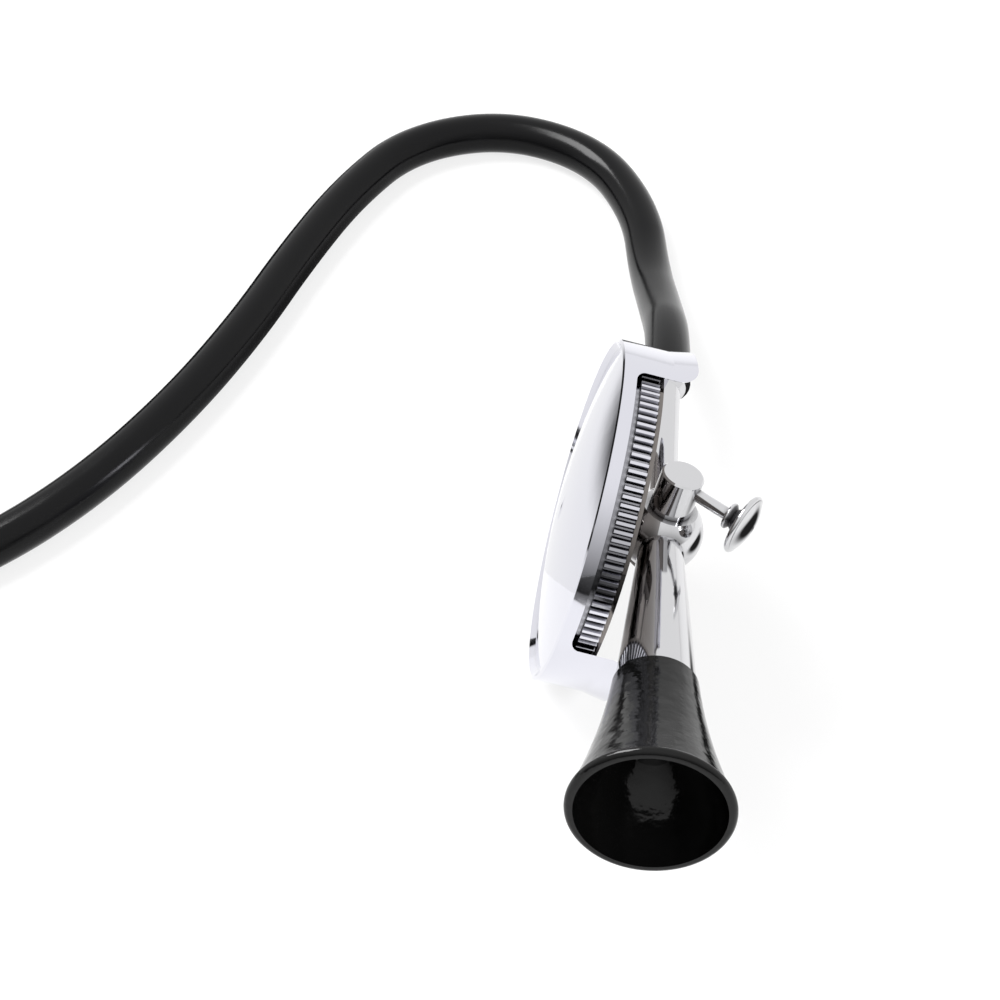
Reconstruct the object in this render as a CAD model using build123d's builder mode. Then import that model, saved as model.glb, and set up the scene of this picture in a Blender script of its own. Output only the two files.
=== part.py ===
"""Acoustic stethoscope with a two-sided chest piece, in millimetres, +Z up.

The chest piece stands on the edge of its snap-on cover, as it lies on a table with its
tube behind it and its headset flat. The origin is the point where the cover's edge meets
the table. Three directions place the chest piece: back runs from the diaphragm to the
valve, mouthward runs out of the bell, and plug_up runs up the valve's plug.
"""
import os
from math import asin, cos, pi, radians, sin, sqrt, tan

from build123d import *

# How the chest piece leans on the table, in degrees
turn = -7.4
lean = 13.06
roll = -10.1

# Diaphragm side: stations run along the axis from the centre of the ball, negative to the front
ball_r = 7.0
collar_back = -4.7
collar_t = 2.4
collar_flats = 10.0
plate_edge_t = 0.9
flange_drop = 0.5
flange_t = 0.7
thread_r = 26.4
ring_wall = 1.7
knurl_depth = 0.55
knurl_w = 3.0
knurl_count = 216
chamber_wall = 2.0
chamber_depth = 1.7
gasket_t = 0.4
diaphragm_t = 0.5
lip_w = 1.4
lip_t = 0.5
step_drop = 0.8
stem_r = 2.4
sound_r = 1.5

# Snap-on cover
sheet = 0.6
cover_gap = 0.4
skirt_short = 2.3
skirt_deep = 8.4
lobe_len = 3.8
lobe_flare = 0.7
lobe_round = 3.0
tab_spread = 39.3
tab_angle = 40.8
bevel_w = 1.5
bevel_t = 0.9
dome_h = 3.1

# Ball valve
plug_bore_r = 2.9
seat_r = 4.3
seat_top = 5.2
port_r = 1.4
plug_r = 3.6
plug_top = 12.4
ball_bottom = -5.6
side_flat = 5.95
washer_t = 0.5
screw_r = 1.2
screw_head_r = 3.0
screw_head_t = 1.5
screw_len = 3.2
slot_w = 0.7
lever_rest = 30.0
lever_h = 10.2
lever_r = 1.05
lever_len = 9.9
lever_seat = 1.4
knob_r = 5.2
knob_grip = 0.6
knob_len = 4.9
bead_r = 2.3
bead_from = 0.2
bead_to = 0.9
waist_r = 1.6
waist_at = 1.3
disc_from = 2.7
disc_to = 3.7
disc_edge = 0.5

# Bell
shank_len = 32.1
shank_r0 = 3.78
shank_r1 = 6.35
spigot_r = 4.0
spigot_len = 5.5
horn_len = 26.0
horn_step = 0.35
mouth_r = 12.4
bead_t = 1.6
rim_flat = 0.5
flare_mid_r = 8.76
bowl_depth = 12.8
bowl_mid_share = 0.8
throat_r = 2.4
throat_lip = 0.9
throat_len = 2.5
horn_bore_r = 1.9

# Nipple and rubber tube
nipple_r = 2.4
nipple_end = 43.0
nipple_bead_r = 3.5
nipple_bead_w = 2.4
nipple_flange_r = 3.4
nipple_flange_w = 1.5
tube_r = 4.25

# Headset, flat on the table
yoke_stem = 9.0
yoke_reach = 26.0
yoke_half = 8.0
yoke_r = 2.8
yoke_bead_r = 3.7
yoke_bead_w = 2.0
yoke_swell = 0.7
ear_r = 3.0
ear_bore_r = 1.8
pivot_x = 100.0
leaf_t = 0.9
leaf_w = 7.5
leaf_bend_r = 12.0
knuckle_r = 2.6
knuckle_gap = 0.1
pin_r = 1.2
pin_head_r = 2.1
pin_head_t = 0.4
clip_r = 4.25
clip_len = 9.0
clip_share = 0.45
lug_t = 1.6
rivet_r = 1.0
rivet_head_r = 1.8
rivet_head_t = 0.7
rivet_short = 0.4
tip_r = 5.6
tip_len = 14.0
tip_socket = 8.0
tip_wall = 1.0

# Clearances
fit_gap = 0.04
face_gap = 0.05
bend_share = 0.45

# The free tube's route after its straight start, chosen by hand
tube_points = [
    (15.6, 79.0, 10.0),
    (14.6, 96.0, 4.25),
    (13.8, 115.0, 4.25),
    (5.0, 134.5, 4.25),
    (-14.8, 144.0, 4.25),
    (-36.0, 138.5, 4.25),
    (-48.5, 121.5, 4.25),
    (-58.0, 101.5, 4.25),
    (-66.8, 79.5, 4.25),
    (-77.7, 58.1, 4.25),
    (-91.1, 38.2, 4.25),
    (-106.0, 23.0, 4.25),
    (-120.5, 14.2, 4.25),
]
tube_start_run = 15.0
yoke_inlet = (-135.5, 11.6)

# Ear tube and branch tube points in the headset's own plane: along it, across it, up
ear_points = [
    (92.0, 27.0, 0.0),
    (132.0, 38.5, 0.0),
    (172.0, 45.5, 0.0),
    (210.0, 44.0, 0.5),
    (237.0, 32.0, 4.5),
    (249.0, 17.0, 9.0),
]
branch_middle = (60.0, 21.0, 0.0)
branch_run = 16.0

# Directions and stations worked out from the sizes above
back = Vector(1, 0, 0).rotate(Axis.Y, lean)
plug_up = Vector(0, 0, 1).rotate(Axis.Y, lean)
plug_up = plug_up.rotate(Axis((0, 0, 0), back), roll)
back = back.rotate(Axis.Z, turn)
plug_up = plug_up.rotate(Axis.Z, turn)
mouthward = back.cross(plug_up)
tab_up = plug_up.rotate(Axis((0, 0, 0), back), -tab_angle)
tab_side = back.cross(tab_up)

collar_front = collar_back - collar_t
plate_back = collar_front - plate_edge_t
flange_front = plate_back - flange_t
knurl_back = flange_front - face_gap
knurl_front = knurl_back - knurl_w
rim_front = knurl_front
chamber_floor = rim_front + chamber_depth
gasket_front = rim_front - gasket_t
diaphragm_front = gasket_front - diaphragm_t
lip_front = diaphragm_front - face_gap - lip_t
knurl_r = thread_r + ring_wall
flange_r = knurl_r - flange_drop
skirt_r = knurl_r + cover_gap + sheet
tab_half = skirt_r * cos(radians(tab_spread))
step_r = knurl_r - step_drop
bevel_floor = lip_front - cover_gap - sheet
skirt_front = bevel_floor - bevel_t
short_edge = skirt_front + skirt_short
deep_edge = skirt_front + skirt_deep
lobe_edge = deep_edge + lobe_len
lobe_start = lobe_edge - lobe_round
dome_top = bevel_floor - dome_h
dome_r = skirt_r - bevel_w - sheet


def rim_point(share):
    """A point on the cover's rounded lobe edge, from the ball's centre, share 0 to 1."""
    station = lobe_start + lobe_round * sin(share * pi / 2)
    height = tab_half + lobe_round * (1 - cos(share * pi / 2))
    flared_r = skirt_r + lobe_flare * (station - deep_edge) / lobe_len
    across = sqrt(flared_r**2 - height**2)
    return [back * station - tab_up * height + tab_side * (s * across) for s in (-1, 1)]


foot = min((p for k in range(31) for p in rim_point(k / 30)), key=lambda p: p.Z)
hub = Vector(0, 0, 0) - foot

back_axis = Axis(hub, back)
mouth_axis = Axis(hub, mouthward)
plug_axis = Axis(hub, plug_up)
disc_side = Plane(origin=hub, x_dir=back, z_dir=mouthward)
bell_side = Plane(origin=hub, x_dir=mouthward, z_dir=back * -1)
nipple_side = Plane(origin=hub, x_dir=mouthward * -1, z_dir=back)
plug_side = Plane(origin=hub, x_dir=plug_up, z_dir=mouthward * -1)
lever_dir = back.rotate(Axis((0, 0, 0), plug_up), -lever_rest)
branch_dir = plug_up.cross(lever_dir)
lever_root = hub + plug_up * lever_h
lever_side = Plane(origin=lever_root, x_dir=lever_dir, z_dir=lever_dir.cross(plug_up))
lever_axis = Axis(lever_root, lever_dir)


def across_disc(station):
    """The plane square to the diaphragm's axis at a station."""
    return Plane(origin=hub + back * station, x_dir=plug_up, z_dir=back)


def bend_radii(points):
    """The largest arc that each corner of a route has room for."""
    v = [Vector(*p) for p in points]
    runs = [b - a for a, b in zip(v, v[1:])]
    return [
        bend_share * min(a.length, b.length) / tan(radians(a.get_angle(b)) / 2)
        for a, b in zip(runs, runs[1:])
    ]


def cap_middle(top, edge, radius):
    """The middle of the arc from a cap's top on the axis to its edge, centred on the axis."""
    rise = edge - top
    sphere = (radius**2 + rise**2) / (2 * rise)
    half = asin(radius / abs(sphere)) / 2
    return (top + sphere * (1 - cos(half)), abs(sphere) * sin(half))


# Diaphragm side
with BuildPart() as drum_body:
    with BuildSketch(disc_side):
        with BuildLine():
            Polyline(
                (-plug_bore_r - 0.5, sound_r),
                (-plug_bore_r - 0.5, stem_r),
                (collar_front, stem_r),
                (collar_front, collar_flats / 2 + 2),
                (plate_back, flange_r - 2.5),
                (plate_back, flange_r),
                (flange_front, flange_r),
                (flange_front, thread_r),
                (rim_front, thread_r),
                (rim_front, thread_r - chamber_wall),
                (chamber_floor - 0.5, thread_r - chamber_wall),
                (chamber_floor, stem_r + 1),
                (chamber_floor, sound_r),
                close=True,
            )
        make_face()
    revolve(axis=back_axis)

with BuildPart() as diaphragm_gasket:
    with BuildSketch(across_disc(gasket_front)):
        Circle(thread_r - 0.2)
        Circle(thread_r - chamber_wall, mode=Mode.SUBTRACT)
    extrude(amount=gasket_t)

with BuildPart() as diaphragm:
    with BuildSketch(across_disc(diaphragm_front)):
        Circle(thread_r - 0.2)
    extrude(amount=diaphragm_t)

tooth = 2 * pi / knurl_count
tooth_outline = [
    (r * cos(tooth * (k + share)), r * sin(tooth * (k + share)))
    for k in range(knurl_count)
    for share, r in (
        (0.0, knurl_r - knurl_depth),
        (0.2, knurl_r),
        (0.6, knurl_r),
        (0.8, knurl_r - knurl_depth),
    )
]
with BuildPart() as bezel_ring:
    with BuildSketch(across_disc(knurl_front)):
        with BuildLine():
            Polyline(*tooth_outline, close=True)
        make_face()
    extrude(amount=knurl_w)
    with BuildSketch(across_disc(lip_front)):
        Circle(step_r)
    extrude(amount=knurl_front - lip_front)
    with BuildSketch(across_disc(lip_front)):
        Circle(thread_r - lip_w)
    extrude(amount=lip_t, mode=Mode.SUBTRACT)
    with BuildSketch(across_disc(lip_front + lip_t)):
        Circle(thread_r + fit_gap)
    extrude(amount=knurl_back - lip_front, mode=Mode.SUBTRACT)

# Snap-on cover, with a window each side that bares the knurling between its two deep tabs
with BuildPart() as snap_cover:
    with BuildSketch(disc_side):
        with BuildLine():
            Line((dome_top + sheet, 0), (dome_top, 0))
            ThreePointArc(
                (dome_top, 0),
                cap_middle(dome_top, bevel_floor, dome_r),
                (bevel_floor, dome_r),
            )
            Polyline(
                (bevel_floor, dome_r),
                (bevel_floor, skirt_r - bevel_w),
                (skirt_front, skirt_r - sheet),
                (skirt_front + sheet / 3, skirt_r),
                (deep_edge, skirt_r),
                (lobe_edge, skirt_r + lobe_flare),
                (lobe_edge, skirt_r + lobe_flare - sheet),
                (deep_edge, skirt_r - sheet),
                (bevel_floor + sheet + cover_gap / 2, skirt_r - sheet),
                (bevel_floor + sheet, skirt_r - bevel_w),
                (bevel_floor + sheet, dome_r),
            )
            ThreePointArc(
                (bevel_floor + sheet, dome_r),
                cap_middle(dome_top + sheet, bevel_floor + sheet, dome_r),
                (dome_top + sheet, 0),
            )
        make_face()
    revolve(axis=back_axis)
    with BuildSketch(Plane(origin=hub, x_dir=back, z_dir=back.cross(tab_up))) as window:
        with BuildLine():
            Polyline(
                (lobe_start, tab_half),
                (short_edge, tab_half),
                (short_edge, -tab_half),
                (lobe_start, -tab_half),
            )
            RadiusArc(
                (lobe_start, -tab_half), (lobe_edge, -tab_half - lobe_round), lobe_round
            )
            Polyline(
                (lobe_edge, -tab_half - lobe_round),
                (ball_r, -tab_half - lobe_round),
                (ball_r, tab_half + lobe_round),
                (lobe_edge, tab_half + lobe_round),
            )
            RadiusArc(
                (lobe_edge, tab_half + lobe_round), (lobe_start, tab_half), lobe_round
            )
        make_face()
        fillet(window.vertices().sort_by(Axis.X)[:2], lobe_round / 2)
    extrude(amount=knurl_r + ball_r, both=True, mode=Mode.SUBTRACT)

with BuildPart() as hex_collar:
    with BuildSketch(across_disc(collar_front)):
        RegularPolygon(collar_flats / 2, 6, major_radius=False)
        Circle(stem_r + fit_gap, mode=Mode.SUBTRACT)
    extrude(amount=collar_t)

# Ball valve
with BuildPart() as valve_body:
    with Locations(Location(plug_side)):
        Sphere(ball_r)
    split(bisect_by=across_disc(collar_back), keep=Keep.TOP)
    split(bisect_by=Plane(origin=hub + plug_up * ball_bottom, z_dir=plug_up), keep=Keep.TOP)
    for way in (mouthward, mouthward * -1):
        split(bisect_by=Plane(origin=hub + way * side_flat, z_dir=way), keep=Keep.BOTTOM)
    with BuildSketch(Plane(origin=hub + plug_up * (seat_top - 1.2), z_dir=plug_up)):
        Circle(seat_r)
    extrude(amount=1.2)
    split(bisect_by=Plane(origin=hub + plug_up * seat_top, z_dir=plug_up), keep=Keep.BOTTOM)
    with BuildSketch(Plane(origin=hub + plug_up * ball_bottom, z_dir=plug_up)):
        Circle(plug_bore_r)
    extrude(amount=seat_top - ball_bottom, mode=Mode.SUBTRACT)
    for way in (back * -1, mouthward, mouthward * -1):
        with BuildSketch(Plane(origin=hub, z_dir=way)):
            Circle(port_r)
        extrude(amount=ball_r, mode=Mode.SUBTRACT)
        with BuildSketch(Plane(origin=hub + way * (plug_bore_r + 0.4), z_dir=way)):
            Circle(stem_r + fit_gap)
        extrude(amount=ball_r, mode=Mode.SUBTRACT)

# The plug's ports make a T, so a quarter turn opens the bell in place of the diaphragm
with BuildPart() as valve_plug:
    with BuildSketch(plug_side):
        with BuildLine():
            Polyline(
                (ball_bottom + face_gap, screw_r),
                (ball_bottom + face_gap, plug_bore_r - fit_gap),
                (seat_top + face_gap, plug_bore_r - fit_gap),
                (seat_top + face_gap, plug_r),
                (plug_top - 0.3, plug_r),
                (plug_top, plug_r - 0.3),
                (plug_top, 0),
                (ball_bottom + screw_len, 0),
                (ball_bottom + screw_len, screw_r),
                close=True,
            )
        make_face()
    revolve(axis=plug_axis)
    with BuildSketch(Plane(origin=hub, z_dir=lever_dir)):
        Circle(port_r)
    extrude(amount=ball_r, both=True, mode=Mode.SUBTRACT)
    with BuildSketch(Plane(origin=hub, z_dir=branch_dir)):
        Circle(port_r)
    extrude(amount=ball_r, mode=Mode.SUBTRACT)
    with BuildSketch(Plane(origin=lever_root + lever_dir * (plug_r - lever_seat), z_dir=lever_dir)):
        Circle(lever_r + fit_gap)
    extrude(amount=plug_r, mode=Mode.SUBTRACT)

washer_top = hub + plug_up * (ball_bottom - face_gap)
head_top = washer_top - plug_up * washer_t
with BuildPart() as plug_washer:
    with BuildSketch(Plane(origin=washer_top, z_dir=plug_up * -1)):
        Circle(seat_r)
        Circle(screw_r + fit_gap, mode=Mode.SUBTRACT)
    extrude(amount=washer_t)

with BuildPart() as plug_screw:
    with BuildSketch(Plane(origin=head_top, z_dir=plug_up * -1)):
        Circle(screw_head_r)
    extrude(amount=screw_head_t)
    fillet(plug_screw.edges().group_by(Axis(hub, plug_up))[0], 0.5)
    with BuildSketch(Plane(origin=head_top, z_dir=plug_up)):
        Circle(screw_r - fit_gap)
    extrude(amount=screw_len - face_gap)
    with BuildSketch(Plane(origin=head_top - plug_up * screw_head_t, z_dir=plug_up)):
        Rectangle(3 * screw_head_r, slot_w)
    extrude(amount=screw_head_t / 2, mode=Mode.SUBTRACT)

with BuildPart() as lever_rod:
    with BuildSketch(Plane(origin=lever_root + lever_dir * (plug_r - lever_seat), z_dir=lever_dir)):
        Circle(lever_r)
    extrude(amount=lever_len - plug_r + lever_seat)

knob_back = lever_len - knob_grip
with BuildPart() as lever_knob:
    with BuildSketch(lever_side):
        with BuildLine():
            Polyline(
                (lever_len + face_gap, 0),
                (lever_len + face_gap, lever_r + fit_gap),
                (knob_back, lever_r + fit_gap),
                (knob_back, waist_r),
                (knob_back + bead_from, bead_r - bead_from),
            )
            ThreePointArc(
                (knob_back + bead_from, bead_r - bead_from),
                (knob_back + (bead_from + bead_to) / 2, bead_r),
                (knob_back + bead_to, bead_r - bead_from),
            )
            Line((knob_back + bead_to, bead_r - bead_from), (knob_back + waist_at, waist_r))
            ThreePointArc(
                (knob_back + waist_at, waist_r),
                (knob_back + 0.4 * waist_at + 0.6 * disc_from, 0.7 * waist_r + 0.3 * knob_r),
                (knob_back + disc_from, knob_r - disc_edge),
            )
            ThreePointArc(
                (knob_back + disc_from, knob_r - disc_edge),
                (knob_back + (disc_from + disc_to) / 2, knob_r),
                (knob_back + disc_to, knob_r - disc_edge),
            )
            ThreePointArc(
                (knob_back + disc_to, knob_r - disc_edge),
                cap_middle(knob_back + knob_len, knob_back + disc_to, knob_r - disc_edge),
                (knob_back + knob_len, 0),
            )
            Line((knob_back + knob_len, 0), (lever_len + face_gap, 0))
        make_face()
    revolve(axis=lever_axis)

# Bell: a chromed cone that screws into the ball, and a black horn screwed onto it
neck = side_flat + shank_len
horn_front = neck + horn_len
with BuildPart() as bell_shank:
    with BuildSketch(bell_side):
        with BuildLine():
            Polyline(
                (plug_bore_r + 0.5, sound_r),
                (plug_bore_r + 0.5, stem_r),
                (side_flat, stem_r),
                (side_flat, shank_r0),
                (neck, shank_r1),
                (neck, spigot_r),
                (neck + spigot_len, spigot_r),
                (neck + spigot_len, sound_r),
                close=True,
            )
        make_face()
    revolve(axis=mouth_axis)

rim_in = mouth_r - bead_t / 2 - rim_flat
with BuildPart() as bell_horn:
    with BuildSketch(bell_side):
        with BuildLine():
            Polyline(
                (neck + spigot_len + face_gap, horn_bore_r),
                (neck + spigot_len + face_gap, spigot_r + fit_gap),
                (neck + face_gap, spigot_r + fit_gap),
                (neck + face_gap, shank_r1 + horn_step),
            )
            ThreePointArc(
                (neck + face_gap, shank_r1 + horn_step),
                (neck + 0.5 * horn_len, flare_mid_r),
                (horn_front - bead_t, mouth_r - 0.5),
            )
            ThreePointArc(
                (horn_front - bead_t, mouth_r - 0.5),
                (horn_front - bead_t / 2, mouth_r),
                (horn_front, rim_in + rim_flat),
            )
            Line((horn_front, rim_in + rim_flat), (horn_front, rim_in))
            ThreePointArc(
                (horn_front, rim_in),
                (horn_front - 0.5 * bowl_depth, bowl_mid_share * rim_in),
                (horn_front - bowl_depth, throat_r + throat_lip),
            )
            Polyline(
                (horn_front - bowl_depth, throat_r + throat_lip),
                (horn_front - bowl_depth - throat_lip / 2, throat_r),
                (horn_front - bowl_depth - throat_len, throat_r),
                (horn_front - bowl_depth - throat_len - throat_lip / 2, horn_bore_r),
                (neck + spigot_len + face_gap, horn_bore_r),
            )
        make_face()
    revolve(axis=mouth_axis)

# Nipple, and the tube that starts square on its flange
with BuildPart() as tube_nipple:
    with BuildSketch(nipple_side):
        with BuildLine():
            Polyline(
                (side_flat, stem_r),
                (plug_bore_r + 0.5, stem_r),
                (plug_bore_r + 0.5, sound_r),
                (nipple_end, sound_r),
                (nipple_end, nipple_flange_r),
                (nipple_end - nipple_flange_w, nipple_flange_r),
                (nipple_end - 2 * nipple_flange_w, nipple_r),
                (side_flat + nipple_bead_w, nipple_r),
            )
            ThreePointArc(
                (side_flat + nipple_bead_w, nipple_r),
                (side_flat + nipple_bead_w / 2, nipple_bead_r),
                (side_flat, nipple_r + 0.3),
            )
            Line((side_flat, nipple_r + 0.3), (side_flat, stem_r))
        make_face()
    revolve(axis=mouth_axis)

tube_from = hub - mouthward * nipple_end
yoke_from = Vector(yoke_inlet[0], yoke_inlet[1], tube_r)
tube_route = [
    tuple(tube_from),
    tuple(tube_from - mouthward * tube_start_run),
    *tube_points,
    tuple(yoke_from),
]
tube_radii = bend_radii(tube_route)
with BuildPart() as main_tube:
    with BuildLine() as tube_line:
        FilletPolyline(*tube_route, radius=tube_radii)
    with BuildSketch(Plane(origin=tube_from, z_dir=mouthward * -1)):
        Circle(tube_r)
    sweep(path=tube_line.line)

# Headset: a yoke, two branch tubes, two ear tubes and a folding spring of two leaves
head = Plane(origin=yoke_from, x_dir=yoke_from - Vector(*tube_points[-1]), z_dir=(0, 0, 1))


def at(x, y, z=0.0):
    """A point of the headset's plane as a point of the part."""
    return head.from_local_coords(Vector(x, y, z))


def spread(line, side):
    """The same route on the left (side 1) or the right (side -1)."""
    return [at(x, side * y, z) for x, y, z in line]


arm = Vector(yoke_reach - yoke_stem, yoke_half, 0)
arm_dir = arm.normalized()
arm_end = Vector(yoke_reach, yoke_half, 0)
with BuildPart() as yoke:
    with BuildSketch(Plane(origin=yoke_from, z_dir=head.x_dir)):
        Circle(yoke_r)
    extrude(amount=yoke_stem)
    with BuildSketch(Plane(origin=yoke_from, z_dir=head.x_dir)):
        Circle(yoke_bead_r)
    extrude(amount=yoke_bead_w)
    with Locations(at(yoke_stem, 0)):
        Sphere(yoke_r + yoke_swell)
    for side in (1, -1):
        way = at(arm_dir.X, side * arm_dir.Y) - at(0, 0)
        with BuildSketch(Plane(origin=at(yoke_stem, 0), z_dir=way)):
            Circle(yoke_r)
        extrude(amount=arm.length)
        bead_from_end = at(arm_end.X, side * arm_end.Y) - way * yoke_bead_w
        with BuildSketch(Plane(origin=bead_from_end, z_dir=way)):
            Circle(yoke_bead_r)
        extrude(amount=yoke_bead_w)

pieces = {
    "drum_body": drum_body,
    "diaphragm_gasket": diaphragm_gasket,
    "diaphragm": diaphragm,
    "bezel_ring": bezel_ring,
    "snap_cover": snap_cover,
    "hex_collar": hex_collar,
    "valve_body": valve_body,
    "valve_plug": valve_plug,
    "plug_washer": plug_washer,
    "plug_screw": plug_screw,
    "lever_rod": lever_rod,
    "lever_knob": lever_knob,
    "bell_shank": bell_shank,
    "bell_horn": bell_horn,
    "tube_nipple": tube_nipple,
    "main_tube": main_tube,
    "yoke": yoke,
}

ear_start = Vector(*ear_points[0])
ear_run = Vector(*ear_points[1]) - ear_start
ear_dir = ear_run.normalized()
clip_mid = ear_start + ear_run * clip_share
lug_out = clip_r + lug_t
leaf_mid = lug_out + face_gap + leaf_t / 2
leaf_seat = clip_mid + Vector(ear_dir.Y, -ear_dir.X, 0) * leaf_mid
leaf_corner = leaf_seat - ear_dir * ((leaf_seat.X - pivot_x) / ear_dir.X)
leaf_end = leaf_seat + ear_dir * (clip_len / 2)
leaf_route = [(pivot_x, knuckle_r - knuckle_gap, 0.0), tuple(leaf_corner), tuple(leaf_end)]
branch_points = [
    tuple(arm_end),
    tuple(arm_end + arm_dir * branch_run),
    branch_middle,
    tuple(ear_start - ear_dir * branch_run),
    tuple(ear_start - ear_dir * face_gap),
]
ear_radii = bend_radii(ear_points)
branch_radii = bend_radii(branch_points)

for side, hand in ((1, "left"), (-1, "right")):
    ear_route = spread(ear_points, side)
    ear_way = (ear_route[1] - ear_route[0]).normalized()
    with BuildPart() as ear_tube:
        with BuildLine() as ear_line:
            FilletPolyline(*ear_route, radius=ear_radii)
        with BuildSketch(Plane(origin=ear_route[0], z_dir=ear_way)):
            Circle(ear_r)
            Circle(ear_bore_r, mode=Mode.SUBTRACT)
        sweep(path=ear_line.line)

    branch_route = spread(branch_points, side)
    with BuildPart() as branch_tube:
        with BuildLine() as branch_line:
            FilletPolyline(*branch_route, radius=branch_radii)
        with BuildSketch(Plane(origin=branch_route[0], z_dir=branch_route[1] - branch_route[0])):
            Circle(tube_r)
        sweep(path=branch_line.line)

    centre = at(clip_mid.X, side * clip_mid.Y)
    inward = at(ear_dir.Y, -side * ear_dir.X) - at(0, 0)
    rivet_foot = centre + inward * (ear_r + rivet_short)
    with BuildPart() as spring_clip:
        with BuildSketch(Plane(origin=centre - ear_way * clip_len / 2, z_dir=ear_way)):
            Circle(clip_r)
        extrude(amount=clip_len)
        with BuildSketch(Plane(origin=centre, x_dir=ear_way, z_dir=inward)):
            Rectangle(clip_len, leaf_w)
        extrude(amount=lug_out)
        with BuildSketch(Plane(origin=centre - ear_way * clip_len, z_dir=ear_way)):
            Circle(ear_r + fit_gap)
        extrude(amount=2 * clip_len, mode=Mode.SUBTRACT)
        with BuildSketch(Plane(origin=rivet_foot - inward * face_gap, z_dir=inward)):
            Circle(rivet_r + fit_gap)
        extrude(amount=lug_out, mode=Mode.SUBTRACT)

    leaf_points = spread(leaf_route, side)
    leaf_way = (leaf_points[1] - leaf_points[0]).normalized()
    leaf_start = Plane(origin=leaf_points[0], x_dir=(0, 0, 1), z_dir=leaf_way)
    with BuildPart() as spring_leaf:
        with BuildLine() as leaf_line:
            FilletPolyline(*leaf_points, radius=leaf_bend_r)
        with BuildSketch(leaf_start):
            Rectangle(leaf_w, leaf_t)
        sweep(path=leaf_line.line)
        for level in (-1, 0, 1):
            cut = Plane(origin=at(pivot_x, 0, (level - 0.5) * leaf_w / 3), z_dir=(0, 0, 1))
            if (level == 0) == (side < 0):
                with BuildSketch(cut.offset(knuckle_gap / 2)):
                    Circle(knuckle_r)
                extrude(amount=leaf_w / 3 - knuckle_gap)
            else:
                with BuildSketch(cut.offset(-knuckle_gap / 2)):
                    Circle(knuckle_r + 2 * knuckle_gap)
                extrude(amount=leaf_w / 3 + knuckle_gap, mode=Mode.SUBTRACT)
        with BuildSketch(Plane(origin=at(pivot_x, 0, -leaf_w), z_dir=(0, 0, 1))):
            Circle(pin_r + fit_gap)
        extrude(amount=2 * leaf_w, mode=Mode.SUBTRACT)
        with BuildSketch(Plane(origin=centre, z_dir=inward)):
            Circle(rivet_r + fit_gap)
        extrude(amount=leaf_mid + leaf_t, mode=Mode.SUBTRACT)

    head_foot = centre + inward * (leaf_mid + leaf_t / 2 + face_gap)
    with BuildPart() as spring_rivet:
        with BuildSketch(Plane(origin=rivet_foot, z_dir=inward)):
            Circle(rivet_r)
        extrude(amount=(head_foot - rivet_foot).length)
        with BuildSketch(Plane(origin=head_foot, z_dir=inward)):
            Circle(rivet_head_r)
        extrude(amount=rivet_head_t, taper=25)

    tip_way = (ear_route[-1] - ear_route[-2]).normalized()
    tip_back = ear_route[-1] - tip_way * (tip_socket - face_gap)
    tip_plane = Plane(origin=tip_back, x_dir=tip_way, z_dir=tip_way.cross(Vector(0, 0, 1)))
    with BuildPart() as ear_tip:
        with BuildSketch(tip_plane):
            with BuildLine():
                Polyline(
                    (tip_socket, ear_bore_r),
                    (tip_socket, ear_r + fit_gap),
                    (0, ear_r + fit_gap),
                    (0, ear_r + tip_wall),
                )
                ThreePointArc(
                    (0, ear_r + tip_wall),
                    (0.45 * tip_len, tip_r),
                    (0.85 * tip_len, ear_r + tip_wall),
                )
                ThreePointArc(
                    (0.85 * tip_len, ear_r + tip_wall),
                    (0.97 * tip_len, ear_r),
                    (tip_len, ear_bore_r),
                )
                Line((tip_len, ear_bore_r), (tip_socket, ear_bore_r))
            make_face()
        revolve(axis=Axis(tip_back, tip_way))

    pieces[f"branch_tube_{hand}"] = branch_tube
    pieces[f"ear_tube_{hand}"] = ear_tube
    pieces[f"spring_clip_{hand}"] = spring_clip
    pieces[f"spring_leaf_{hand}"] = spring_leaf
    pieces[f"spring_rivet_{hand}"] = spring_rivet
    pieces[f"ear_tip_{hand}"] = ear_tip

with BuildPart() as spring_pin:
    with BuildSketch(Plane(origin=at(pivot_x, 0, -leaf_w / 2 - face_gap / 2), z_dir=(0, 0, 1))):
        Circle(pin_r)
    extrude(amount=leaf_w + face_gap)
    for way in (1, -1):
        end = at(pivot_x, 0, way * (leaf_w / 2 + face_gap / 2))
        with BuildSketch(Plane(origin=end, z_dir=(0, 0, way))):
            Circle(pin_head_r)
        extrude(amount=pin_head_t)
pieces["spring_pin"] = spring_pin

print("bend radii of the free tube", [round(r, 1) for r in tube_radii])
print("free tube length", round(sum(e.length for e in tube_line.line.edges()), 1))
print("hub", hub)

os.makedirs("parts", exist_ok=True)
for label, piece in pieces.items():
    piece.part.label = label
    export_step(piece.part, f"parts/{label}.step")
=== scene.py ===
"""Stethoscope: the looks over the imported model.

The file is laid out as an add-on. Run as a script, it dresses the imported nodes, builds the
rubber tubes and the knurled ring, and sets the camera and the light.
"""
from math import atan2, cos, pi, radians, sin

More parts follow.
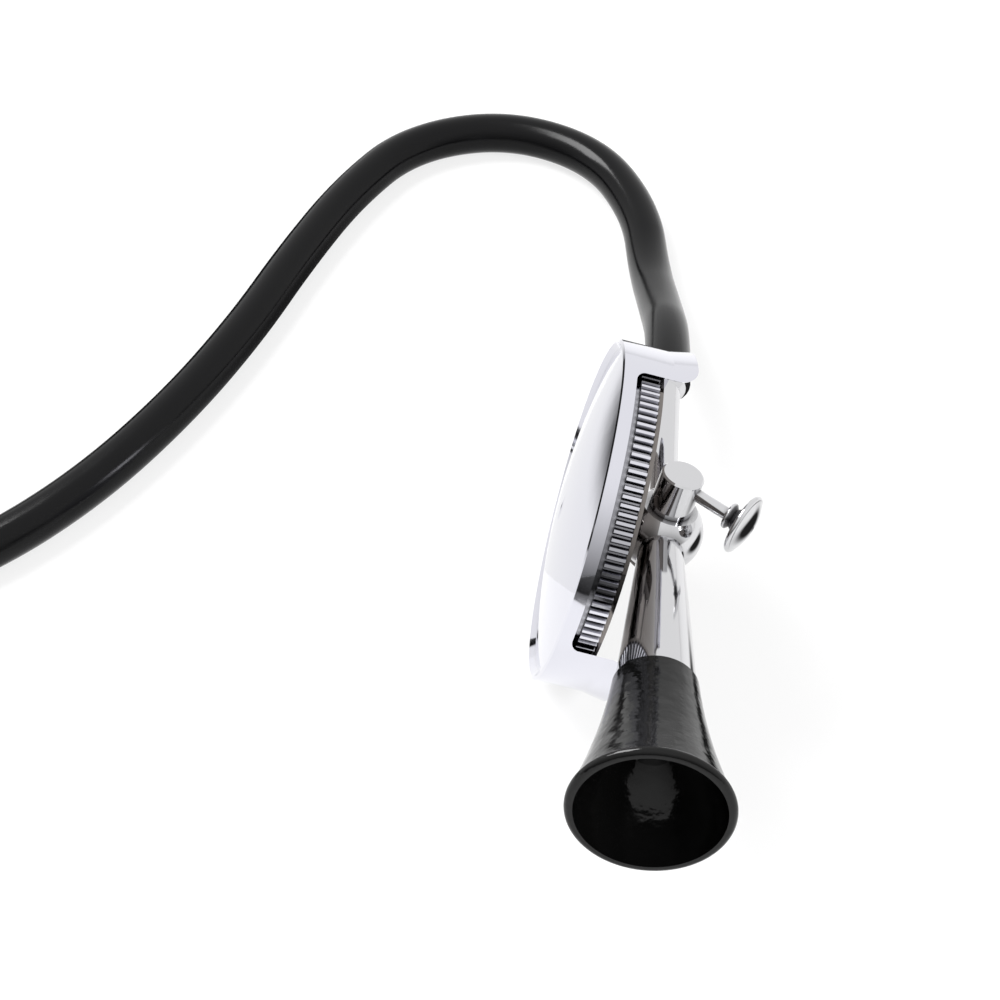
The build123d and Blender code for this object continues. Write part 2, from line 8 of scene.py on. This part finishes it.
import bmesh
import bpy
from bpy.props import FloatProperty, FloatVectorProperty, PointerProperty
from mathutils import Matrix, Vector


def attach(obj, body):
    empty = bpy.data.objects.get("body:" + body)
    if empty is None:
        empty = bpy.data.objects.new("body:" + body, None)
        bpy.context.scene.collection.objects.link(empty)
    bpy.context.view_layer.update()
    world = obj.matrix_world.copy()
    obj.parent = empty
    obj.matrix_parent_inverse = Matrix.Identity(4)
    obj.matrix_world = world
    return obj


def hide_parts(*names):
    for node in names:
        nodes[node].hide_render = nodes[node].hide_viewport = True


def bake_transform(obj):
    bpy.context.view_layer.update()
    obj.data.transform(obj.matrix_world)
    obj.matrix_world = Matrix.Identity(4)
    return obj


bl_info = {
    "name": "Stethoscope",
    "version": (1, 0, 0),
    "blender": (4, 5, 0),
    "location": "View3D > Sidebar > Stethoscope",
    "description": "Dresses the packed stethoscope, and builds its tubes and knurled ring",
    "category": "Object",
}

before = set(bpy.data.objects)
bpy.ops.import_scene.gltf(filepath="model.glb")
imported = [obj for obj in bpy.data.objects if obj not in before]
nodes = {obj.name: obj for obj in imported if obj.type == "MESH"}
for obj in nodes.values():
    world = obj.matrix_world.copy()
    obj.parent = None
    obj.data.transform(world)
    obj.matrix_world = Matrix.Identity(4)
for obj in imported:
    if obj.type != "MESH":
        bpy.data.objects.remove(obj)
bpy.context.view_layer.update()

# The middle of the disc's back plate, and the way from the cover to the ball, along its axis
HUB = Vector((0.010813, 0.005671, 0.027283))
BACK = Vector((0.966021, -0.125464, -0.225971))

# The knurled ring, in metres: stations along the disc's axis from the hub, then radii
LIP_FRONT, LIP_BACK, KNURL_FRONT, KNURL_BACK = -0.01320, -0.01270, -0.01175, -0.00875
HOLE_R, BORE_R, STEP_R, KNURL_R = 0.02500, 0.02644, 0.02730, 0.02810
ROOT_R = KNURL_R - 0.00070
KNURL_TEETH = 128
# Where a tooth's root, its two crest edges and the next root start, as shares of the pitch
TOOTH_STARTS = (0.0, 0.22, 0.58, 0.80)

# The free tube's route, the same points as in the part's source
TUBE_ROUTE = [
    (0.014575, 0.047871, 0.019938),
    (0.015888, 0.062592, 0.017375),
    (0.015600, 0.079000, 0.010000),
    (0.014600, 0.096000, 0.004250),
    (0.013800, 0.115000, 0.004250),
    (0.005000, 0.134500, 0.004250),
    (-0.014800, 0.144000, 0.004250),
    (-0.036000, 0.138500, 0.004250),
    (-0.048500, 0.121500, 0.004250),
    (-0.058000, 0.101500, 0.004250),
    (-0.066800, 0.079500, 0.004250),
    (-0.077700, 0.058100, 0.004250),
    (-0.091100, 0.038200, 0.004250),
    (-0.106000, 0.023000, 0.004250),
    (-0.120500, 0.014200, 0.004250),
    (-0.135500, 0.011600, 0.004250),
]
BRANCH_ROUTES = {
    "left": [
        (-0.159752, -0.000723, 0.004250),
        (-0.172853, -0.009908, 0.004250),
        (-0.191032, -0.019339, 0.004250),
        (-0.207141, -0.023734, 0.004250),
        (-0.221492, -0.030694, 0.004250),
    ],
    "right": [
        (-0.162484, 0.015042, 0.004250),
        (-0.177912, 0.019282, 0.004250),
        (-0.198205, 0.022044, 0.004250),
        (-0.214853, 0.020761, 0.004250),
        (-0.230710, 0.022486, 0.004250),
    ],
}


def linear(hex_colour):
    """An sRGB hex value such as 8A8A8A as linear red, green, blue and alpha."""
    channels = [int(hex_colour[i:i + 2], 16) / 255 for i in (0, 2, 4)]
    return (*[c / 12.92 if c <= 0.04045 else ((c + 0.055) / 1.055) ** 2.4 for c in channels], 1.0)


class PlatingSettings(bpy.types.PropertyGroup):
    """The plated metal"""

    plate_colour: FloatVectorProperty(
        name="Plate colour", description="Colour of the chromium plate", subtype="COLOR",
        default=linear("DFDFE7")[:3], min=0.0, max=1.0,
    )
    turned_colour: FloatVectorProperty(
        name="Turned colour", description="Colour of the plate on the small turned pieces",
        subtype="COLOR", default=linear("D4D4D6")[:3], min=0.0, max=1.0,
    )
    # Painted reflection: the back plate and the collar are drawn in this darker brownish grey
    painted_reflection_colour: FloatVectorProperty(
        name="Painted reflection colour", description="Colour of the plate, drawn dark as a painted reflection",
        subtype="COLOR", default=linear("817C79")[:3], min=0.0, max=1.0,
    )
    polish: FloatProperty(
        name="Polish", description="Least roughness of the buffed plate", default=0.03,
        min=0.0, max=1.0,
    )


class TubeSettings(bpy.types.PropertyGroup):
    """The rubber tubing"""

    diameter: FloatProperty(
        name="Diameter", description="Outside diameter of the rubber tube", default=0.0085,
        min=0.006, max=0.012, unit="LENGTH",
    )
    length: FloatProperty(
        name="Length", description="Length of the free tube", default=0.293, min=0.1, max=1.0,
        unit="LENGTH",
    )


class StageSettings(bpy.types.PropertyGroup):
    """The camera and the floor"""

    lens: FloatProperty(
        name="Lens", description="Focal length of the camera", default=72.18, min=10.0, max=300.0,
        unit="CAMERA",
    )
    tilt: FloatProperty(
        name="Tilt", description="How far the camera looks up from straight down",
        default=radians(42.0), min=0.0, max=pi / 2, subtype="ANGLE",
    )


def per_mm(size):
    """The scale that makes one turn of a pattern as long as size, in millimetres."""
    return 1000.0 / size


def add(tree, kind, inputs=None, **settings):
    """Add a node with its settings, and its inputs from values or from other nodes' sockets."""
    made = tree.nodes.new(kind)
    for name, value in settings.items():
        setattr(made, name, value)
    for name, value in (inputs or {}).items():
        if isinstance(value, bpy.types.NodeSocket):
            tree.links.new(value, made.inputs[name])
        else:
            made.inputs[name].default_value = value
    return made


def new_material(name):
    """An empty node material, with its output, and the object's own coordinates."""
    material = bpy.data.materials.new(name)
    material.use_nodes = True
    tree = material.node_tree
    tree.nodes.clear()
    out = add(tree, "ShaderNodeOutputMaterial")
    place = add(tree, "ShaderNodeTexCoord").outputs["Object"]
    return material, tree, out, place


# Chromium plate on brass, buffed: a mirror with faint wipe marks and a slight swell, and with
# painted shade in its grooves and corners. The wipe marks are coarser than real ones, so that they
# show.
# reach is how far from a corner the painted shade lies, in metres.
def chromium_plate(name, colour, painted_shade_colour, reach):
    material, tree, out, place = new_material(name)
    polish = bpy.context.scene.stethoscope_plating.polish
    cloud = add(tree, "ShaderNodeTexNoise", {"Vector": place, "Scale": per_mm(9), "Detail": 3.0})
    wipe = add(
        tree, "ShaderNodeMapping", {"Vector": place, "Scale": (per_mm(0.5), per_mm(0.6), per_mm(7))}
    )
    marks = add(
        tree, "ShaderNodeTexNoise", {"Vector": wipe.outputs[0], "Scale": 1.0, "Detail": 2.0}
    )
    rough = add(
        tree, "ShaderNodeMapRange",
        {
            "Value": cloud.outputs["Fac"], "From Min": 0.35, "From Max": 0.7,
            "To Min": polish, "To Max": polish + 0.05,
        },
    )
    mixed = add(
        tree, "ShaderNodeMath", {0: marks.outputs["Fac"], 1: 0.03, 2: rough.outputs[0]},
        operation="MULTIPLY_ADD",
    )
    swell = add(tree, "ShaderNodeTexNoise", {"Vector": place, "Scale": per_mm(4), "Detail": 1.0})
    uneven = add(
        tree, "ShaderNodeBump",
        {"Height": swell.outputs["Fac"], "Strength": 0.05, "Distance": 0.0003},
    )
    open_sky = add(tree, "ShaderNodeAmbientOcclusion", {"Distance": reach}, samples=8)
    unshaded_share = add(
        tree, "ShaderNodeMapRange",
        {"Value": open_sky.outputs["AO"], "From Min": 0.30, "From Max": 0.85},
    )
    # Painted shade: the plate's colour turns to the dark shade colour in grooves, corners and where
    # pieces meet
    tone = add(
        tree, "ShaderNodeMix",
        {0: unshaded_share.outputs[0], 6: linear(painted_shade_colour), 7: (*colour, 1.0)}, data_type="RGBA",
    )
    shader = add(
        tree, "ShaderNodeBsdfPrincipled",
        {
            "Base Color": tone.outputs[2], "Metallic": 1.0, "Roughness": mixed.outputs[0],
            "Normal": uneven.outputs[0],
        },
    )
    tree.links.new(shader.outputs[0], out.inputs[0])
    return material


# The cover and the headset's metal: the palest plate, with painted shade in its grooves
def buffed_plate():
    plating = bpy.context.scene.stethoscope_plating
    return chromium_plate("chromium plate, buffed", plating.plate_colour, "3A3A40", 0.0016)


# The valve and the shank, turned: a little darker, with darker painted shade reaching further where
# pieces meet
def turned_plate():
    plating = bpy.context.scene.stethoscope_plating
    return chromium_plate("chromium plate, turned", plating.turned_colour, "171314", 0.004)


# The ring's grip, rolled with a knurl: bright crests between grooves drawn black with painted shade
def knurled_plate():
    plating = bpy.context.scene.stethoscope_plating
    return chromium_plate("chromium plate, knurled", plating.plate_colour, "0A0A0A", 0.0022)


# The back plate and the collar: a brownish grey plate, drawn dark as a painted reflection, with
# painted shade in its grooves
def painted_reflection_plate():
    plating = bpy.context.scene.stethoscope_plating
    return chromium_plate("chromium plate, drawn dark as a painted reflection", plating.painted_reflection_colour, "181615", 0.0016)


# Ebonite, turned and polished: deep black, with a gloss that the uneven wall breaks up
def ebonite():
    material, tree, out, place = new_material("ebonite, turned and polished")
    dust = add(tree, "ShaderNodeTexNoise", {"Vector": place, "Scale": per_mm(3), "Detail": 6.0})
    rough = add(
        tree, "ShaderNodeMapRange",
        {
            "Value": dust.outputs["Fac"], "From Min": 0.3, "From Max": 0.75,
            "To Min": 0.06, "To Max": 0.16,
        },
    )
    grain = add(tree, "ShaderNodeTexNoise", {"Vector": place, "Scale": per_mm(3.5), "Detail": 3.0})
    bump = add(
        tree, "ShaderNodeBump",
        {"Height": grain.outputs["Fac"], "Strength": 0.25, "Distance": 0.0006},
    )
    shader = add(
        tree, "ShaderNodeBsdfPrincipled",
        {
            "Base Color": linear("080808"), "Roughness": rough.outputs[0], "IOR": 1.55,
            "Specular IOR Level": 0.24, "Normal": bump.outputs[0],
        },
    )
    tree.links.new(shader.outputs[0], out.inputs[0])
    return material


# Extruded black rubber: dense black with a gloss that clouds over in patches, on a fine skin
def extruded_rubber():
    material, tree, out, place = new_material("black rubber, extruded")
    bloom = add(tree, "ShaderNodeTexNoise", {"Vector": place, "Scale": per_mm(14), "Detail": 4.0})
    rough = add(
        tree, "ShaderNodeMapRange",
        {
            "Value": bloom.outputs["Fac"], "From Min": 0.3, "From Max": 0.7,
            "To Min": 0.13, "To Max": 0.22,
        },
    )
    skin = add(tree, "ShaderNodeTexNoise", {"Vector": place, "Scale": per_mm(0.7), "Detail": 3.0})
    bump = add(
        tree, "ShaderNodeBump", {"Height": skin.outputs["Fac"], "Strength": 0.05, "Distance": 0.0002}
    )
    shader = add(
        tree, "ShaderNodeBsdfPrincipled",
        {
            "Base Color": linear("070708"), "Roughness": rough.outputs[0], "IOR": 1.52,
            "Specular IOR Level": 0.16, "Normal": bump.outputs[0],
        },
    )
    tree.links.new(shader.outputs[0], out.inputs[0])
    return material


# Spring steel strip, polished: greyer and softer than the plate, with fine level lines
def spring_strip():
    material, tree, out, place = new_material("spring steel strip, polished")
    lines = add(
        tree, "ShaderNodeMapping", {"Vector": place, "Scale": (per_mm(3), per_mm(3), per_mm(0.3))}
    )
    marks = add(
        tree, "ShaderNodeTexNoise", {"Vector": lines.outputs[0], "Scale": 1.0, "Detail": 3.0}
    )
    rough = add(
        tree, "ShaderNodeMapRange",
        {
            "Value": marks.outputs["Fac"], "From Min": 0.3, "From Max": 0.7,
            "To Min": 0.12, "To Max": 0.28,
        },
    )
    shader = add(
        tree, "ShaderNodeBsdfPrincipled",
        {"Base Color": linear("B9BBBD"), "Metallic": 1.0, "Roughness": rough.outputs[0]},
    )
    tree.links.new(shader.outputs[0], out.inputs[0])
    return material


# Fabric-filled resin sheet, pressed: the diaphragm's warm satin tan, mottled half a
# millimetre at a time by the threads in it
def resin_sheet():
    material, tree, out, place = new_material("resin sheet, pressed")
    threads = add(
        tree, "ShaderNodeTexVoronoi", {"Vector": place, "Scale": per_mm(0.5)}, feature="F1",
    )
    tone = add(
        tree, "ShaderNodeMix",
        {0: threads.outputs["Distance"], 6: linear("B89A66"), 7: linear("8E7345")},
        data_type="RGBA",
    )
    shader = add(
        tree, "ShaderNodeBsdfPrincipled",
        {"Base Color": tone.outputs[2], "Roughness": 0.38, "IOR": 1.55},
    )
    tree.links.new(shader.outputs[0], out.inputs[0])
    return material


# Cut sheet rubber: the gasket's dull dark grey, with grit that takes its shine away
def gasket_sheet():
    material, tree, out, place = new_material("sheet rubber, cut")
    grit = add(tree, "ShaderNodeTexNoise", {"Vector": place, "Scale": per_mm(0.4), "Detail": 4.0})
    bump = add(
        tree, "ShaderNodeBump", {"Height": grit.outputs["Fac"], "Strength": 0.3, "Distance": 0.0001}
    )
    shader = add(
        tree, "ShaderNodeBsdfPrincipled",
        {"Base Color": linear("2A2A2B"), "Roughness": 0.75, "Normal": bump.outputs[0]},
    )
    tree.links.new(shader.outputs[0], out.inputs[0])
    return material


MAKERS = {
    "plate": buffed_plate,
    "turned": turned_plate,
    "knurled": knurled_plate,
    "dark_reflection": painted_reflection_plate,
    "ebonite": ebonite,
    "rubber": extruded_rubber,
    "strip": spring_strip,
    "resin": resin_sheet,
    "gasket": gasket_sheet,
}
made_materials = {}


def finish_of(name):
    """The material of that short name, made once."""
    if name not in made_materials:
        made_materials[name] = MAKERS[name]()
    return made_materials[name]


def dress(finish, *names):
    """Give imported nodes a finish."""
    for name in names:
        for holder in nodes[name].material_slots:
            holder.material = finish_of(finish)


def link(obj):
    """Put an object in the scene."""
    bpy.context.scene.collection.objects.link(obj)
    return obj


def rubber_line(name, route, diameter):
    """A round rubber tube along one smooth line."""
    curve = bpy.data.curves.new(name, "CURVE")
    curve.dimensions = "3D"
    line = curve.splines.new("NURBS")
    line.points.add(len(route) - 1)
    for point, place in zip(line.points, route):
        point.co = (*place, 1.0)
    line.order_u = 3
    line.use_endpoint_u = True
    line.resolution_u = 16
    curve.bevel_depth = diameter / 2
    curve.bevel_resolution = 10
    curve.use_fill_caps = True
    curve.materials.append(finish_of("rubber"))
    return link(bpy.data.objects.new(name, curve))


class STETHOSCOPE_OT_main_tube(bpy.types.Operator):
    """Lay the rubber tube from the chest piece to the headset"""

    bl_idname = "stethoscope.main_tube"
    bl_label = "Main tube"

    def execute(self, context):
        size = context.scene.stethoscope_tube
        tube = rubber_line("rubber_main_tube", TUBE_ROUTE, size.diameter)
        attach(tube, "root")
        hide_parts("main_tube")
        return {"FINISHED"}


class STETHOSCOPE_OT_branch_tubes(bpy.types.Operator):
    """Lay the two short branch tubes"""

    bl_idname = "stethoscope.branch_tubes"
    bl_label = "Branch tubes"

    def execute(self, context):
        size = context.scene.stethoscope_tube
        for hand, route in BRANCH_ROUTES.items():
            line = rubber_line(f"rubber_branch_line_{hand}", route, size.diameter)
            mesh = bpy.data.meshes.new_from_object(
                line.evaluated_get(context.evaluated_depsgraph_get())
            )
            bpy.data.objects.remove(line)
            tube = link(bpy.data.objects.new(f"rubber_branch_tube_{hand}", mesh))
            for face in mesh.polygons:
                face.use_smooth = True
            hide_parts(f"branch_tube_{hand}")
            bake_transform(tube)
        return {"FINISHED"}


def knurled_ring(name):
    """The ring that clamps the diaphragm, with its knurled grip, turned about the disc's axis."""
    across = BACK.orthogonal().normalized()
    upward = BACK.cross(across)
    # Each row of points: its station, and the radius at a tooth's root, crest, crest and root
    rows = [
        (LIP_FRONT, [HOLE_R] * 4), (LIP_FRONT, [STEP_R] * 4), (KNURL_FRONT, [STEP_R] * 4),
        (KNURL_FRONT, [ROOT_R, KNURL_R, KNURL_R, ROOT_R]),
        (KNURL_BACK, [ROOT_R, KNURL_R, KNURL_R, ROOT_R]),
        (KNURL_BACK, [BORE_R] * 4), (LIP_BACK, [BORE_R] * 4), (LIP_BACK, [HOLE_R] * 4),
    ]
    points = [
        HUB + BACK * station + (across * cos(turn) + upward * sin(turn)) * radius
        for station, radii in rows
        for tooth in range(KNURL_TEETH)
        for turn, radius in (
            (2 * pi * (tooth + start) / KNURL_TEETH, radius)
            for start, radius in zip(TOOTH_STARTS, radii)
        )
    ]
    count = len(TOOTH_STARTS) * KNURL_TEETH
    faces = []
    for row in range(len(rows)):
        this, following = row * count, (row + 1) % len(rows) * count
        for step in range(count):
            after = (step + 1) % count
            faces.append((this + step, this + after, following + after, following + step))
    mesh = bpy.data.meshes.new(name)
    mesh.from_pydata(points, [], faces)
    shell = bmesh.new()
    shell.from_mesh(mesh)
    bmesh.ops.recalc_face_normals(shell, faces=shell.faces)
    shell.to_mesh(mesh)
    shell.free()
    mesh.materials.append(finish_of("knurled"))
    return link(bpy.data.objects.new(name, mesh))


class STETHOSCOPE_OT_disc(bpy.types.Operator):
    """Dress the disc: cover, ring, drum, collar, gasket and diaphragm"""

    bl_idname = "stethoscope.disc"
    bl_label = "Disc"

    def execute(self, context):
        dress("plate", "snap_cover")
        ring = knurled_ring("knurled_bezel_ring")
        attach(ring, "bezel")
        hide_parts("bezel_ring")
        dress("dark_reflection", "drum_body", "hex_collar")
        dress("resin", "diaphragm")
        dress("gasket", "diaphragm_gasket")
        return {"FINISHED"}


class STETHOSCOPE_OT_valve(bpy.types.Operator):
    """Dress the ball valve with its plug, lever and nipple"""

    bl_idname = "stethoscope.valve"
    bl_label = "Valve"

    def execute(self, context):
        dress(
            "turned", "valve_body", "valve_plug", "plug_washer", "plug_screw", "lever_rod",
            "lever_knob", "tube_nipple",
        )
        return {"FINISHED"}


class STETHOSCOPE_OT_bell(bpy.types.Operator):
    """Dress the bell's shank and horn"""

    bl_idname = "stethoscope.bell"
    bl_label = "Bell"

    def execute(self, context):
        dress("turned", "bell_shank")
        dress("ebonite", "bell_horn")
        return {"FINISHED"}


class STETHOSCOPE_OT_headset(bpy.types.Operator):
    """Dress the headset"""

    bl_idname = "stethoscope.headset"
    bl_label = "Headset"

    def execute(self, context):
        dress("plate", "yoke", "spring_pin")
        for hand in ("left", "right"):
            dress("plate", f"ear_tube_{hand}", f"spring_clip_{hand}", f"spring_rivet_{hand}")
            dress("strip", f"spring_leaf_{hand}")
            dress("ebonite", f"ear_tip_{hand}")
        return {"FINISHED"}


def flag(name, points, faces, painted_reflection_level):
    """A mesh seen only in reflections, where it paints dark reflections. The given function makes
    its level of light from a place.
    """
    mesh = bpy.data.meshes.new(name)
    mesh.from_pydata(points, [], faces)
    sheet = link(bpy.data.objects.new(name, mesh))
    material, tree, out, place = new_material(f"painted dark reflection, {name}")
    glow = add(
        tree, "ShaderNodeEmission", {"Color": (1, 1, 1, 1), "Strength": painted_reflection_level(tree, place)}
    )
    tree.links.new(glow.outputs[0], out.inputs[0])
    mesh.materials.append(material)
    sheet.visible_camera = False
    sheet.visible_diffuse = False
    sheet.visible_shadow = False
    return sheet


def dark_side(name, toward, depth):
    """A painted dark reflection of a room behind the camera: half a dome round the disc, seen only
    in reflections.

    It is darkest at the floor and straight towards the camera's side, by depth, and as bright
    as the white studio at its edges.
    """
    radius, rings, steps = 1.2, 10, 24
    middle = atan2(toward[1], toward[0])
    points = [
        (radius * cos(rise) * cos(turn), radius * cos(rise) * sin(turn), radius * sin(rise))
        for rise in (pi / 2 * ring / rings for ring in range(rings + 1))
        for turn in (middle + pi * (step / steps - 0.5) for step in range(steps + 1))
    ]
    row = steps + 1
    faces = [
        (first, first + 1, first + 1 + row, first + row)
        for ring in range(rings)
        for first in range(ring * row, ring * row + steps)
    ]

    def painted_reflection_level(tree, place):
        way = add(tree, "ShaderNodeVectorMath", {0: place}, operation="NORMALIZE").outputs[0]
        rise = add(tree, "ShaderNodeSeparateXYZ", {0: way}).outputs["Z"]
        low = add(
            tree, "ShaderNodeMapRange",
            {"Value": rise, "From Min": 0.0, "From Max": 0.95, "To Min": 1.0, "To Max": 0.0},
        )
        near = add(
            tree, "ShaderNodeVectorMath", {0: way, 1: (*toward, 0.0)}, operation="DOT_PRODUCT"
        )
        side = add(
            tree, "ShaderNodeMapRange",
            {"Value": near.outputs["Value"], "From Min": 0.1, "From Max": 0.75},
            interpolation_type="SMOOTHSTEP",
        )
        dark = add(
            tree, "ShaderNodeMath", {0: low.outputs[0], 1: side.outputs[0]}, operation="MULTIPLY"
        )
        return add(
            tree, "ShaderNodeMath", {0: dark.outputs[0], 1: -depth, 2: 1.0},
            operation="MULTIPLY_ADD",
        ).outputs[0]

    return flag(name, points, faces, painted_reflection_level)


def floor_flag(name, centre, radius):
    """A round dark patch with a soft edge on the floor, seen only in reflections: a painted dark
    reflection.
    """
    corners = [(x * radius, y * radius, 0) for x, y in ((-1, -1), (1, -1), (1, 1), (-1, 1))]

    def painted_reflection_level(tree, place):
        gap = add(tree, "ShaderNodeVectorMath", {0: place}, operation="LENGTH").outputs["Value"]
        return add(
            tree, "ShaderNodeMapRange",
            {
                "Value": gap, "From Min": 0.5 * radius, "From Max": 0.95 * radius,
                "To Min": 0.02, "To Max": 1.0,
            },
            interpolation_type="SMOOTHSTEP",
        ).outputs[0]

    sheet = flag(name, corners, [(0, 1, 2, 3)], painted_reflection_level)
    sheet.location = centre
    return sheet


def softbox(name, centre, width, height, watts, gloss=True):
    """A rectangular lamp that faces the disc."""
    lamp = bpy.data.lights.new(name, "AREA")
    lamp.shape = "RECTANGLE"
    lamp.size, lamp.size_y, lamp.energy = width, height, watts
    holder = link(bpy.data.objects.new(name, lamp))
    holder.location = centre
    holder.rotation_euler = (Vector(centre) - HUB).to_track_quat("Z", "Y").to_euler()
    holder.visible_glossy = gloss
    return holder


def camera_or_mirror(tree):
    """1 where the camera, a mirror or glass looks, else 0."""
    path = add(tree, "ShaderNodeLightPath")
    seen = add(
        tree, "ShaderNodeMath",
        {0: path.outputs["Is Camera Ray"], 1: path.outputs["Is Glossy Ray"]},
        operation="ADD", use_clamp=True,
    )
    return add(
        tree, "ShaderNodeMath", {0: seen.outputs[0], 1: path.outputs["Is Transmission Ray"]},
        operation="ADD", use_clamp=True,
    ).outputs[0]


class STETHOSCOPE_OT_stage(bpy.types.Operator):
    """Set the camera, the white floor, the lamps, and the flags that paint dark reflections"""

    bl_idname = "stethoscope.stage"
    bl_label = "Stage"

    def execute(self, context):
        scene = context.scene
        scene.view_settings.view_transform = "Standard"
        size = scene.stethoscope_stage
        eye = bpy.data.cameras.new("camera")
        eye.sensor_width = 36.0  # mm
        eye.lens = size.lens
        camera = link(bpy.data.objects.new("camera", eye))
        camera.location = (-0.016087, -0.214029, 0.278906)
        camera.rotation_euler = (size.tilt, 0.0, 0.0)
        scene.camera = camera

        world = bpy.data.worlds.new("studio")
        world.use_nodes = True
        tree = world.node_tree
        tree.nodes.clear()
        seen = camera_or_mirror(tree)
        # White to the camera and in mirrors, and a softer light on the object
        strength = add(tree, "ShaderNodeMapRange", {"Value": seen, "To Min": 0.55, "To Max": 1.0})
        sky = add(
            tree, "ShaderNodeBackground", {"Color": (1, 1, 1, 1), "Strength": strength.outputs[0]}
        )
        out = add(tree, "ShaderNodeOutputWorld")
        tree.links.new(sky.outputs[0], out.inputs[0])
        scene.world = world

        # A matt floor that keeps the shadow, three quarters of it glowing white where it is seen
        mesh = bpy.data.meshes.new("floor")
        mesh.from_pydata([(-3, -3, 0), (3, -3, 0), (3, 3, 0), (-3, 3, 0)], [], [(0, 1, 2, 3)])
        floor = link(bpy.data.objects.new("floor", mesh))
        material, tree, out, _ = new_material("white sweep, matt paint")
        seen = camera_or_mirror(tree)
        share = add(tree, "ShaderNodeMath", {0: seen, 1: 0.75}, operation="MULTIPLY")
        paint = add(tree, "ShaderNodeBsdfDiffuse", {"Color": linear("F2F2F2")})
        glow = add(tree, "ShaderNodeEmission", {"Color": (1, 1, 1, 1), "Strength": 1.0})
        both = add(
            tree, "ShaderNodeMixShader",
            {0: share.outputs[0], 1: paint.outputs[0], 2: glow.outputs[0]},
        )
        tree.links.new(both.outputs[0], out.inputs[0])
        mesh.materials.append(material)

        softbox("key", (-0.35, 0.25, 0.55), 0.35, 0.35, 6.0)
        softbox("fill", (0.40, -0.30, 0.45), 0.30, 0.20, 3.0, gloss=False)
        # Painted dark reflections: sheets seen only in mirrors, a half dome towards the camera and
        # two patches on the floor
        dark_side("front_flag", (-0.23, -0.97), 0.93)
        floor_flag("back_flag", (-0.105, 0.115, 0.0005), 0.095)
        floor_flag("side_flag", (0.064, 0.004, 0.0006), 0.030)
        return {"FINISHED"}


class STETHOSCOPE_PT_panel(bpy.types.Panel):
    """Lists the pieces and their settings"""

    bl_idname = "STETHOSCOPE_PT_panel"
    bl_label = "Stethoscope"
    bl_space_type = "VIEW_3D"
    bl_region_type = "UI"
    bl_category = "Stethoscope"

    def draw(self, context):
        for settings in GROUPS:
            group = getattr(context.scene, settings)
            for name in group.__annotations__:
                self.layout.prop(group, name)
        for step in STEPS:
            self.layout.operator(step)


GROUPS = {
    "stethoscope_plating": PlatingSettings,
    "stethoscope_tube": TubeSettings,
    "stethoscope_stage": StageSettings,
}
OPERATORS = (
    STETHOSCOPE_OT_stage,
    STETHOSCOPE_OT_main_tube,
    STETHOSCOPE_OT_branch_tubes,
    STETHOSCOPE_OT_disc,
    STETHOSCOPE_OT_valve,
    STETHOSCOPE_OT_bell,
    STETHOSCOPE_OT_headset,
)
STEPS = tuple(made.bl_idname for made in OPERATORS)
CLASSES = (*GROUPS.values(), *OPERATORS, STETHOSCOPE_PT_panel)


def register():
    for made in CLASSES:
        bpy.utils.register_class(made)
    for name, group in GROUPS.items():
        setattr(bpy.types.Scene, name, PointerProperty(type=group))


def unregister():
    for name in GROUPS:
        delattr(bpy.types.Scene, name)
    for made in reversed(CLASSES):
        bpy.utils.unregister_class(made)


def main():
    register()
    for step in STEPS:
        family, name = step.split(".")
        getattr(getattr(bpy.ops, family), name)()


if __name__ == "__main__":
    main()
